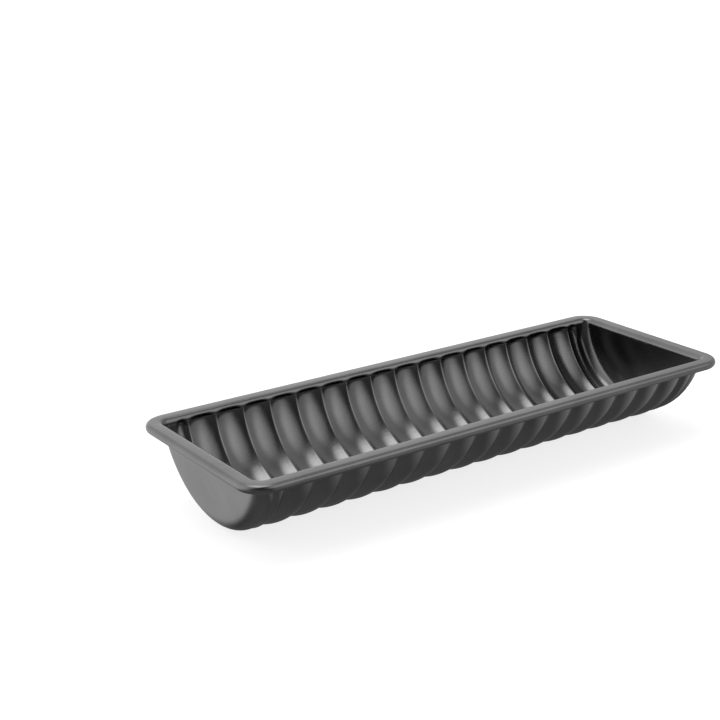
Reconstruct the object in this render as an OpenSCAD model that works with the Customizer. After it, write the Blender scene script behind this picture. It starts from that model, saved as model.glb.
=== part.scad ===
// Half-round loaf tray pressed from one steel sheet: a ribbed trough with flat end walls,
// and a flat flange whose edge is rolled under round a stiffening wire.
// Millimetres. +X along the tray, +Z up. The origin is under the middle of the tray, level
// with the crests of the ribs that it rests on.

/* [Tray] */
// Overall length, over the rolled edge
tray_l = 300; // [240:1:400]
// Overall width, over the rolled edge
tray_w = 109; // [90:1:150]
// Depth from the flange's top to the outside of a groove at the bottom of the trough
trough_d = 39; // [30:0.5:45]
// Radius of the rim's corners, seen from above, over the rolled edge
corner_r = 13; // [12:0.5:18]
// Thickness of the sheet
sheet_t = 0.7; // [0.5:0.05:1]

/* [Rim] */
// Width of the rim, from the inside of the wall to the outside of the rolled edge
rim_w = 9.1; // [8:0.1:10.5]
// Height of the plain band between the ends of the ribs and the flange's top
band_h = 3.2; // [2.5:0.1:5]
// Width of the sloping bend from the band to the flange, on its upper side
bend_w = 1.2; // [0.8:0.1:1.6]
// Diameter of the wire in the rolled edge
wire_d = 3; // [2:0.1:3.5]
// Clearance between the wire and the sheet rolled round it
wire_gap = 0.1; // [0.05:0.05:0.2]
// How far the sheet is rolled round the wire, in degrees from the flange
roll_turn = 290; // [240:5:300]

/* [Ribs] */
// Distance from one rib to the next
rib_pitch = 15.8; // [12:0.1:20]
// Height of a rib above the grooves on either side of it
rib_h = 1.8; // [1:0.1:2.4]
// Height that a rib's crest has at its two short end ribs
end_rib_h = 1.4; // [0.8:0.1:2]
// Slope of the shoulder where a rib dies away under the band, in degrees from level
shoulder_slope = 45; // [35:1:60]

/* [End walls] */
// Radius of the rounded edge between an end wall and the trough, on the outside
end_r = 6.6; // [5:0.1:8]
// Height of the rounded edge's crest above the grooves
end_crest_h = 1.2; // [0.6:0.1:1.6]
// Draft of the end walls, in degrees
end_draft = 3; // [1:0.5:6]

/* [Hidden] */
$fn = 96;

shell_colour = [0.2, 0.2, 0.21];
wire_colour = [0.62, 0.63, 0.65];

// The opening, inside the band
open_l = tray_l - 2 * rim_w;
open_w = tray_w - 2 * rim_w;
open_r = corner_r - rim_w;

// Heights above the crests that the tray rests on
rim_z = trough_d + rib_h;
band_z = rim_z - band_h;

// The trough's outside at a groove: the arc through the band's two lower edges and the bottom
half_w = open_w / 2 + sheet_t;
arc_d = trough_d - band_h;
groove_r = (half_w * half_w + arc_d * arc_d) / (2 * arc_d);
axis_z = groove_r + rib_h;

// A rib is an arc standing on a chord as long as the pitch
rib_r = (rib_pitch * rib_pitch / 4 + rib_h * rib_h) / (2 * rib_h);

// The end wall's outside under the band, and the middle of its rounded edge there
wall_x = open_l / 2 + sheet_t;
edge_x = wall_x - end_r;

// As many whole ribs as leave room for a short rib at each end
min_end_rib = 6;
ribs = floor(2 * (edge_x - min_end_rib) / rib_pitch);
last_groove = ribs * rib_pitch / 2;

// The short rib at each end, from the last groove to the middle of the rounded edge
end_rib_l = edge_x - last_groove;
end_rib_r = (end_rib_l * end_rib_l / 4 + end_rib_h * end_rib_h) / (2 * end_rib_h);

// The end walls lean about the trough's axis, so they start this much further out there
lean_x = (axis_z - band_z) * tan(end_draft);

// How far out the shoulder goes, which takes it past the crest of every rib
shoulder_w = 3 * rib_h;

// The roll round the wire
roll_in = wire_d / 2 + wire_gap;
roll_out = roll_in + sheet_t;
roll_x = rim_w - roll_out;

// Outline of the trough along its length, from its axis out: the outside of the sheet for
// inset = 0 and the inside for inset = sheet_t
module trough_outline(inset) {
  fill_r = groove_r - 5 * rib_h;
  translate([-edge_x, 0])
    square([2 * edge_x, fill_r]);
  intersection() {
    union() {
      for (i = [0 : ribs - 1])
        translate([(i + 0.5) * rib_pitch - last_groove, groove_r + rib_h - rib_r])
          circle(r = rib_r - inset);
      for (side = [-1, 1])
        translate([side * (last_groove + end_rib_l / 2), groove_r + end_rib_h - end_rib_r])
          circle(r = end_rib_r - inset);
    }
    // A long low rib's circle would reach past the axis, so only its outer side is kept
    translate([-edge_x, 0])
      square([2 * edge_x, 2 * groove_r]);
  }
}

// Outline of the disc that closes an end, its flat face at 0 and its rounded edge behind it
module end_outline(inset) {
  edge_y = groove_r + end_crest_h - end_r;
  translate([-end_r, edge_y])
    circle(r = end_r - inset);
  translate([inset - 2 * end_r, 0])
    square([2 * (end_r - inset), edge_y]);
}

// An outline drawn along X and outwards along Y, turned about the X axis
module turned() {
  rotate([0, 90, 0])
    rotate_extrude()
      mirror([1, -1])
        children();
}

// A piece and its mirror image
module both(axis) {
  children();
  mirror(axis)
    children();
}

// The room that the band leaves the ribs: upright beside the opening, then wider as it goes
// down, so that each rib dies away in a shoulder
module under_band(inset) {
  y = half_w - inset;
  top_z = rim_z - sheet_t / 2 + 2 * inset;
  start_z = band_z - inset * (1 - sin(shoulder_slope)) / cos(shoulder_slope);
  low_z = start_z - shoulder_w * tan(shoulder_slope);
  rotate([90, 0, 90])
    linear_extrude(height = tray_l, center = true)
      polygon([
        [-y, top_z], [-y, start_z], [-y - shoulder_w, low_z], [-y - shoulder_w, -rib_h],
        [y + shoulder_w, -rib_h], [y + shoulder_w, low_z], [y, start_z], [y, top_z],
      ]);
}

// The trough as a solid block: its outside stops inside the flange, and its inside runs
// out above the flange
module trough(inset) {
  intersection() {
    translate([0, 0, axis_z]) {
      turned()
        trough_outline(inset);
      both([1, 0, 0])
        translate([wall_x + lean_x, 0, 0])
          rotate([0, end_draft, 0])
            turned()
              end_outline(inset);
    }
    under_band(inset);
  }
}

// A section drawn outwards from the opening and up from the flange's top, taken round the rim
module round_the_rim() {
  translate([0, 0, rim_z]) {
    both([0, 1, 0])
      translate([0, open_w / 2, 0])
        rotate([90, 0, 90])
          linear_extrude(height = open_l - 2 * open_r, center = true)
            children();
    both([1, 0, 0])
      translate([open_l / 2, 0, 0])
        rotate([90, 0, 0])
          linear_extrude(height = open_w - 2 * open_r, center = true)
            children();
    both([1, 0, 0])
      both([0, 1, 0])
        translate([open_l / 2 - open_r, open_w / 2 - open_r, 0])
          rotate_extrude(angle = 90)
            translate([open_r, 0])
              children();
  }
}

// The flange and the roll round the wire
module flange_section() {
  translate([-sheet_t, -sheet_t])
    square([roll_x + sheet_t, sheet_t]);
  translate([roll_x, -roll_out])
    difference() {
      circle(r = roll_out);
      circle(r = roll_in);
      polygon([
        [0, 0], [0, 2 * roll_out], [-2 * roll_out, 2 * roll_out],
        [2 * roll_out * cos(90 - roll_turn), 2 * roll_out * sin(90 - roll_turn)],
      ]);
    }
}

// The sheet added under the corner between the band and the flange
module bend_fill_section() {
  half_t = sheet_t / 2;
  low = -bend_w - sheet_t;
  polygon([
    [half_t, -half_t], [half_t, low - half_t], [sheet_t, low],
    [bend_w + sheet_t, -sheet_t], [bend_w + sheet_t, -half_t],
  ]);
}

// The sheet taken off the top of that corner
module bend_cut_section() {
  reach = 2 * sheet_t;
  polygon([[-reach, reach], [-reach, -bend_w - reach], [bend_w + reach, reach]]);
}

// The pressed sheet
module pan_shell() {
  color(shell_colour)
    difference() {
      union() {
        trough(0);
        round_the_rim()
          flange_section();
        round_the_rim()
          bend_fill_section();
      }
      trough(sheet_t);
      round_the_rim()
        bend_cut_section();
    }
}

// The closed wire loop inside the rolled edge
module rim_wire() {
  color(wire_colour)
    round_the_rim()
      translate([roll_x, -roll_out])
        circle(d = wire_d);
}

pan_shell();
rim_wire();
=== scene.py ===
import math
import bmesh
import bpy
from mathutils import Matrix, Vector


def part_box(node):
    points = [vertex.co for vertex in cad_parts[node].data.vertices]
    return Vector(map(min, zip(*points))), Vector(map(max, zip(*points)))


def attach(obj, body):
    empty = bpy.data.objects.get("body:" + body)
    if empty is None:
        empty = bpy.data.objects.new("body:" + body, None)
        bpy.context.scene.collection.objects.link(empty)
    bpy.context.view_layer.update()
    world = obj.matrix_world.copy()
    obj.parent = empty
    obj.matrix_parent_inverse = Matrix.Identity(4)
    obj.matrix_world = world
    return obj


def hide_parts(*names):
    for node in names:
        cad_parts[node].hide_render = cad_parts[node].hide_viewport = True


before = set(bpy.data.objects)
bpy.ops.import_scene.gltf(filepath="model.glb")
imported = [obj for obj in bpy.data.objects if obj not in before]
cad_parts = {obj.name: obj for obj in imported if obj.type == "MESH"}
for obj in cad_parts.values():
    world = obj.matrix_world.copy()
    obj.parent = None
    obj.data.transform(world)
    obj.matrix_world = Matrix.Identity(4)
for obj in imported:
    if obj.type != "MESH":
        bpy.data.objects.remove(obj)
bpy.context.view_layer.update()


# Pressed sheet: one steel sheet drawn into a half-round trough with ribs across it, two flat
# end walls and a flange, with its edge rolled under round a wire. It has a dark grey non-stick
# coating all over, inside and out.
MM = 0.001
sheet_t = 0.7 * MM
rim_w = 9.1 * MM
corner_r = 13 * MM
band_h = 3.2 * MM
rib_pitch = 15.8 * MM
rib_h = 1.8 * MM
end_rib_h = 1.4 * MM
least_end_rib = 6 * MM
edge_r = 6.6 * MM
edge_crest = 1.2 * MM
end_draft = math.radians(3)

shell_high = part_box("pan_shell")[1]
rim_z = shell_high.z
band_z = rim_z - band_h
open_x = shell_high.x - rim_w
open_y = shell_high.y - rim_w
open_r = corner_r - rim_w

# The trough's sizes outside the sheet, worked out as the solid model works them out
wall_x = open_x + sheet_t
half_w = open_y + sheet_t
arc_d = band_z - rib_h
groove_r = (half_w ** 2 + arc_d ** 2) / (2 * arc_d)
axis_z = groove_r + rib_h
inner_r = groove_r - sheet_t
edge_x = wall_x - edge_r
rib_count = int(2 * (edge_x - least_end_rib) / rib_pitch)
last_groove = rib_count * rib_pitch / 2
end_rib_l = edge_x - last_groove
rib_r = (rib_pitch ** 2 / 4 + rib_h ** 2) / (2 * rib_h)
end_rib_r = (end_rib_l ** 2 / 4 + end_rib_h ** 2) / (2 * end_rib_h)


# Distance from the trough's axis to the sheet's upper side. Every rib is an arc, and where two
# arcs meet, the ridge between them is rounded. Past the short rib at each end a shallow dip leads
# to the rounded edge of the end wall.
ridge_sharpness = 6.5 / MM
end_dip = 0.25 * MM


def trough_radius(x):
    x = abs(x)
    levels = []
    nearest = int(x / rib_pitch)
    for i in range(nearest - 1, nearest + 2):
        if -rib_count / 2 <= i < rib_count / 2:
            inside = (rib_r - sheet_t) ** 2 - (x - (i + 0.5) * rib_pitch) ** 2
            if inside > 0:
                levels.append(groove_r + rib_h - rib_r + math.sqrt(inside))
    from_end_rib = x - (last_groove + end_rib_l / 2)
    if from_end_rib < 0:
        inside = (end_rib_r - sheet_t) ** 2 - from_end_rib ** 2
        if inside > 0:
            levels.append(groove_r + end_rib_h - end_rib_r + math.sqrt(inside))
    else:
        share = from_end_rib / (end_rib_l / 2)
        crest = end_rib_h + (edge_crest - end_rib_h) * share
        levels.append(inner_r + crest - end_dip * math.sin(math.pi * share) ** 2)
    top = max(levels)
    spread = sum(math.exp(ridge_sharpness * (level - top)) for level in levels)
    return top + math.log(spread) / ridge_sharpness


# Half of the trough's outline, from the middle of its length to the middle of an end wall. Each
# point has its place in the trough and the place it has at the plain band under the flange.
rib_steps = 14
run_up_steps = 4
edge_steps = 9
wall_steps = 14
wall_top_r = 9 * MM
run_up = 1.9 * MM
rib_limit = edge_x - run_up
bunching = 0.55
outline = []
stops = [i * rib_pitch for i in range(rib_count // 2 + 1)] + [rib_limit]
for start, end in zip(stops, stops[1:]):
    steps = rib_steps if end < rib_limit else rib_steps // 2
    for i in range(steps):
        share = i / steps
        even = start + (end - start) * share
        bunched = start + (end - start) * (1 - math.cos(math.pi * share)) / 2
        x = even + (bunched - even) * bunching
        outline.append((x, trough_radius(x), x, inner_r))
edge_in = edge_r - sheet_t
for i in range(run_up_steps):
    x = rib_limit + run_up * i / run_up_steps
    outline.append((x, trough_radius(x), x, inner_r))
for i in range(edge_steps + 1):
    turn = math.radians(90 - 90 * i / edge_steps)
    outline.append((
        edge_x + edge_in * math.cos(turn),
        groove_r + edge_crest - edge_r + edge_in * math.sin(turn),
        open_x - open_r + open_r * math.cos(turn),
        inner_r - open_r + open_r * math.sin(turn),
    ))
full_start, band_start = outline[-1][1], outline[-1][3]
for i in range(1, wall_steps + 1):
    share = i / wall_steps
    outline.append((
        open_x,
        full_start + (wall_top_r - full_start) * share,
        open_x,
        band_start + (wall_top_r - band_start) * share,
    ))
mirrored = [(-x, r, -band_x, band_r) for x, r, band_x, band_r in outline[:0:-1]]
outline = mirrored + outline

# The outline is spun about the trough's axis
section_steps = 92
spun_angle = math.radians(166)
sheet = bmesh.new()
place = sheet.verts.layers.int.new("place")
chain = []
for i, (x, r, band_x, band_r) in enumerate(outline):
    vertex = sheet.verts.new((
        x,
        r * math.sin(-spun_angle / 2),
        axis_z - r * math.cos(spun_angle / 2),
    ))
    vertex[place] = i
    chain.append(vertex)
chain_edges = [sheet.edges.new(pair) for pair in zip(chain, chain[1:])]
bmesh.ops.spin(
    sheet,
    geom=chain + chain_edges,
    cent=(0, 0, axis_z),
    axis=(1, 0, 0),
    dvec=(0, 0, 0),
    angle=spun_angle,
    steps=section_steps,
    use_merge=False,
    use_normal_flip=False,
    use_duplicate=False,
)


# Each rib ends in an arch under the flange, and the rounded edges of the end walls tighten into
# the opening's corners. The end walls lean in by their draft.
def smooth_step(value):
    value = min(max(value, 0.0), 1.0)
    return value * value * (3 - 2 * value)


arch_top = 1.2 * MM
arch_r = 4.2 * MM
shoulder_run = 3.0 * MM
corner_run = 9 * MM
end_bunching = 0.36


# How much of a rib's bulge there is at a place along the tray and a depth under the flange
def bulge_share(x, depth):
    x = abs(x)
    if x < last_groove:
        start = int(x / rib_pitch) * rib_pitch
        length = rib_pitch
    else:
        start = last_groove
        length = rib_limit - last_groove
    to_ridge = max(min(x - start, start + length - x), 0.0)
    short = max(arch_r - to_ridge, 0.0)
    arch = arch_top + arch_r - math.sqrt(arch_r ** 2 - short ** 2)
    return smooth_step((depth - arch) / shoulder_run)


for vertex in sheet.verts:
    full_x, full_r, band_x, band_r = outline[vertex[place]]
    turn = math.atan2(vertex.co.y, axis_z - vertex.co.z) / (spun_angle / 2)
    angle = spun_angle / 2 * ((1 + end_bunching) * turn - end_bunching * turn ** 3)
    below_band = band_z - (axis_z - full_r * math.cos(angle))
    if abs(full_x) < rib_limit:
        blend = bulge_share(full_x, below_band + band_h)
    else:
        blend = smooth_step(below_band / corner_run)
    x = band_x + (full_x - band_x) * blend
    r = band_r + (full_r - band_r) * blend
    lean = min(max((abs(x) - last_groove) / (edge_x - last_groove), 0.0), 1.0)
    z = axis_z - r * math.cos(angle)
    x -= math.copysign(lean * math.tan(end_draft) * (band_z - z), x)
    vertex.co = (x, r * math.sin(angle), z)

# Everything above the plain band is cut away
on_plane = 0.0001 * MM
merge_within = 0.02 * MM
bmesh.ops.bisect_plane(
    sheet,
    geom=sheet.verts[:] + sheet.edges[:] + sheet.faces[:],
    plane_co=(0, 0, band_z),
    plane_no=(0, 0, 1),
    dist=on_plane,
    clear_outer=True,
)
bmesh.ops.remove_doubles(sheet, verts=sheet.verts[:], dist=merge_within)

# The cut edge is drawn up over the bend, out along the flange and round the wire. A step is a
# distance out from the opening and a height from the flange's top. A fine crease runs along the
# top of the roll, where the sheet starts to turn down.
bend_r = 3.0 * MM
bend_steps = 9
flange_steps = 2
roll_r = 2.3 * MM
crease_rows = [12, 18, 22, 27, 32, 38, 50, 65]
roll_turn = 290
roll_rows = list(range(80, roll_turn + 1, 15))
roll_x = rim_w - roll_r
crease = {22: 0.04 * MM, 27: 0.16 * MM, 32: 0.04 * MM}
steps_out = []
for i in range(bend_steps + 1):
    turn = math.radians(90 * i / bend_steps)
    steps_out.append((bend_r - bend_r * math.cos(turn), bend_r * math.sin(turn) - bend_r))
for i in range(1, flange_steps + 1):
    steps_out.append((bend_r + (roll_x - bend_r) * i / flange_steps, 0))
for turn_out in crease_rows + roll_rows:
    turn = math.radians(90 - turn_out)
    r = roll_r - crease.get(turn_out, 0.0)
    steps_out.append((roll_x + r * math.cos(turn), r * math.sin(turn) - roll_r))

foot = sheet.verts.layers.float_vector.new("foot")
outward = sheet.verts.layers.float_vector.new("outward")
bulge = sheet.verts.layers.float.new("bulge")
edge_loop = [e for e in sheet.edges if e.is_boundary]
for vertex in {v for e in edge_loop for v in e.verts}:
    x, y = vertex.co.x, vertex.co.y
    limit_x, limit_y = open_x - open_r, open_y - open_r
    corner = Vector((min(max(x, -limit_x), limit_x), min(max(y, -limit_y), limit_y), rim_z))
    away = Vector((x - corner.x, y - corner.y, 0)).normalized()
    vertex[foot] = corner + away * open_r
    vertex[outward] = away
    if abs(x) < rib_limit and abs(y) > limit_y:
        vertex[bulge] = trough_radius(x) - inner_r
for out, up in steps_out:
    drawn = bmesh.ops.extrude_edge_only(sheet, edges=edge_loop)["geom"]
    for vertex in (g for g in drawn if isinstance(g, bmesh.types.BMVert)):
        reach = out
        if out < bend_r:
            reach += vertex[bulge] * bulge_share(vertex[foot].x, -up)
        vertex.co = vertex[foot] + vertex[outward] * reach + Vector((0, 0, up))
    edge_loop = [g for g in drawn if isinstance(g, bmesh.types.BMEdge) and g.is_boundary]

# The upper side faces up and into the trough, and the thickness goes on below it
bmesh.ops.recalc_face_normals(sheet, faces=sheet.faces[:])
flange_face = max(sheet.faces, key=lambda f: f.calc_center_median().z)
if flange_face.normal.z < 0:
    bmesh.ops.reverse_faces(sheet, faces=sheet.faces[:])
for face in sheet.faces:
    face.smooth = True
tray_mesh = bpy.data.meshes.new("pressed_sheet")
sheet.to_mesh(tray_mesh)
sheet.free()
tray = bpy.data.objects.new("pressed_sheet", tray_mesh)
bpy.context.scene.collection.objects.link(tray)
wall = tray.modifiers.new("sheet thickness", "SOLIDIFY")
wall.thickness = sheet_t
wall.offset = -1
wall.use_even_offset = True
wall.use_quality_normals = True


# Non-stick coating: a baked-on dark grey film with fine metal flake in it. It is satin, slightly
# mottled where it was sprayed, and has the faint unevenness of coated sheet.
class Sock:
    def __init__(self, paint, link):
        self.paint = paint
        self.link = link

    def maths(self, operation, other):
        return self.paint.node("ShaderNodeMath", {"operation": operation}, {0: self, 1: other})

    def __add__(self, other):
        return self.maths("ADD", other)

    def __mul__(self, other):
        return self.maths("MULTIPLY", other)

    __radd__ = __add__
    __rmul__ = __mul__


class Finish:
    def __init__(self, name):
        self.material = bpy.data.materials.new(name)
        self.material.use_nodes = True
        self.tree = self.material.node_tree
        self.tree.nodes.clear()

    def node(self, kind, settings, inputs, output=0):
        made = self.tree.nodes.new(kind)
        for key, value in settings.items():
            if key == "stops":
                ramp = made.color_ramp
                for i, (at, colour) in enumerate(value):
                    stop = ramp.elements[i] if i < 2 else ramp.elements.new(at)
                    stop.position = at
                    stop.color = colour
            else:
                setattr(made, key, value)
        for key, value in inputs.items():
            if isinstance(value, Sock):
                self.tree.links.new(value.link, made.inputs[key])
            else:
                made.inputs[key].default_value = value
        return Sock(self, made.outputs[output]) if made.outputs else None


def grey(level, warmth=0.0):
    return (level * (1 + warmth), level, level * (1 - warmth), 1)


coating = Finish("non_stick_coating")
where = coating.node("ShaderNodeTexCoord", {}, {}, "Object")
mottle = coating.node("ShaderNodeTexNoise", {}, {
    "Vector": where, "Scale": 45.0, "Detail": 4.0, "Roughness": 0.55,
})
flake = coating.node("ShaderNodeTexNoise", {}, {
    "Vector": where, "Scale": 2600.0, "Detail": 2.0, "Roughness": 0.6,
})
peel = coating.node("ShaderNodeTexNoise", {}, {
    "Vector": where, "Scale": 420.0, "Detail": 2.0, "Roughness": 0.5,
})
waves = coating.node("ShaderNodeTexNoise", {}, {
    "Vector": where, "Scale": 38.0, "Detail": 1.0, "Roughness": 0.4,
})
tone = coating.node("ShaderNodeValToRGB", {
    "stops": [(0.3, grey(0.1, -0.004)), (0.7, grey(0.16, 0.004))],
}, {"Fac": mottle * 0.5 + flake * 0.5})
relief = coating.node("ShaderNodeBump", {}, {
    "Strength": 1.0, "Distance": 0.05 * MM, "Height": peel * 0.6 + waves * 3.0 + flake * 0.03,
})
coat_shader = coating.node("ShaderNodeBsdfPrincipled", {}, {
    "Base Color": tone,
    "Metallic": 1.0,
    "Roughness": mottle * 0.1 + flake * 0.1 + 0.11,
    "Normal": relief,
})
coating.node("ShaderNodeOutputMaterial", {}, {"Surface": coat_shader})
tray_mesh.materials.append(coating.material)
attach(tray, "root")
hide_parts("pan_shell")


# Rim wire: a closed loop of drawn steel wire inside the rolled edge, which stiffens the rim. It
# shows only as a bright line through the gap that the roll leaves under the flange.
wire_finish = Finish("drawn_wire")
wire_where = wire_finish.node("ShaderNodeTexCoord", {}, {}, "Object")
die_marks = wire_finish.node("ShaderNodeTexNoise", {}, {
    "Vector": wire_where, "Scale": 900.0, "Detail": 3.0, "Roughness": 0.6,
})
wire_tone = wire_finish.node("ShaderNodeValToRGB", {
    "stops": [(0.35, grey(0.42)), (0.65, grey(0.56, 0.01))],
}, {"Fac": die_marks})
wire_shader = wire_finish.node("ShaderNodeBsdfPrincipled", {}, {
    "Base Color": wire_tone,
    "Metallic": 1.0,
    "Roughness": die_marks * 0.2 + 0.25,
})
wire_finish.node("ShaderNodeOutputMaterial", {}, {"Surface": wire_shader})
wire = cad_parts["rim_wire"]
wire.data.materials.clear()
wire.data.materials.append(wire_finish.material)


# Floor, studio and camera: a plain pale floor, soft light from all round and a camera in front
# of the tray's left end. The floor is kept out of the tray's reflections.
floor_reach = 6
floor_bm = bmesh.new()
bmesh.ops.create_grid(floor_bm, x_segments=1, y_segments=1, size=floor_reach)
floor_mesh = bpy.data.meshes.new("floor")
floor_bm.to_mesh(floor_mesh)
floor_bm.free()
floor = bpy.data.objects.new("floor", floor_mesh)
bpy.context.scene.collection.objects.link(floor)
pale = Finish("pale_floor")
pale_shader = pale.node("ShaderNodeBsdfPrincipled", {}, {
    "Base Color": (0.3, 0.3, 0.3, 1), "Roughness": 0.9,
    "Emission Color": (1.0, 1.0, 1.0, 1), "Emission Strength": 0.8,
})
pale.node("ShaderNodeOutputMaterial", {}, {"Surface": pale_shader})
floor_mesh.materials.append(pale.material)
floor.visible_glossy = False

# Each studio light is a soft round patch of the surroundings: degrees round from +X and up from
# level, the angles from its middle where it starts to fade and where it ends, and its strength
studio_lights = [
    (86, 81, 0, 27, 3.0),
    (112, 32, 50, 85, 1.15),
    (150, 0, 5, 60, 0.45),
    (-59, 40, 0, 36, 1.05),
    (-21, 5, 28, 66, 0.7),
    (25, -45, 10, 65, 0.07),
    (225, -47, 2, 89, 0.22),
]
ambient = 0.07
studio = bpy.data.worlds.new("studio")
bpy.context.scene.world = studio
studio.use_nodes = True
sky = studio.node_tree
sky.nodes.clear()
direction = sky.nodes.new("ShaderNodeTexCoord").outputs["Generated"]
total = None
for light_az, light_el, full_to, ends_at, strength in studio_lights:
    light_az, light_el = math.radians(light_az), math.radians(light_el)
    facing = sky.nodes.new("ShaderNodeVectorMath")
    facing.operation = "DOT_PRODUCT"
    facing.inputs[1].default_value = (
        math.cos(light_az) * math.cos(light_el),
        math.sin(light_az) * math.cos(light_el),
        math.sin(light_el),
    )
    sky.links.new(direction, facing.inputs[0])
    patch = sky.nodes.new("ShaderNodeMapRange")
    patch.interpolation_type = "SMOOTHSTEP"
    patch.inputs["From Min"].default_value = math.cos(math.radians(ends_at))
    patch.inputs["From Max"].default_value = math.cos(math.radians(full_to))
    patch.inputs["To Min"].default_value = 0.0
    patch.inputs["To Max"].default_value = strength
    sky.links.new(facing.outputs["Value"], patch.inputs["Value"])
    added = sky.nodes.new("ShaderNodeMath")
    added.inputs[0].default_value = ambient
    if total:
        sky.links.new(total, added.inputs[0])
    sky.links.new(patch.outputs["Result"], added.inputs[1])
    total = added.outputs[0]
background = sky.nodes.new("ShaderNodeBackground")
sky.links.new(total, background.inputs["Color"])
world_out = sky.nodes.new("ShaderNodeOutputWorld")
sky.links.new(background.outputs[0], world_out.inputs[0])

view_az, view_el, view_roll = math.radians(-34.79), math.radians(18.60), math.radians(-0.74)
back = Vector((
    math.sin(view_az) * math.cos(view_el),
    -math.cos(view_az) * math.cos(view_el),
    math.sin(view_el),
))
target = Vector((-10.2 * MM, 62.8 * MM, rim_z))
distance = 796 * MM
camera_data = bpy.data.cameras.new("camera")
camera_data.lens = 72.94
camera_data.sensor_width = 36
camera_data.clip_start = 10 * MM
camera = bpy.data.objects.new("camera", camera_data)
bpy.context.scene.collection.objects.link(camera)
right = (-back).cross(Vector((0, 0, 1))).normalized()
up = right.cross(-back)
tilted_right = right * math.cos(view_roll) + up * math.sin(view_roll)
tilted_up = up * math.cos(view_roll) - right * math.sin(view_roll)
turned = Matrix((tilted_right, tilted_up, back)).transposed().to_4x4()
camera.matrix_world = Matrix.Translation(target + back * distance) @ turned
bpy.context.scene.camera = camera
bpy.context.scene.view_settings.view_transform = "Standard"
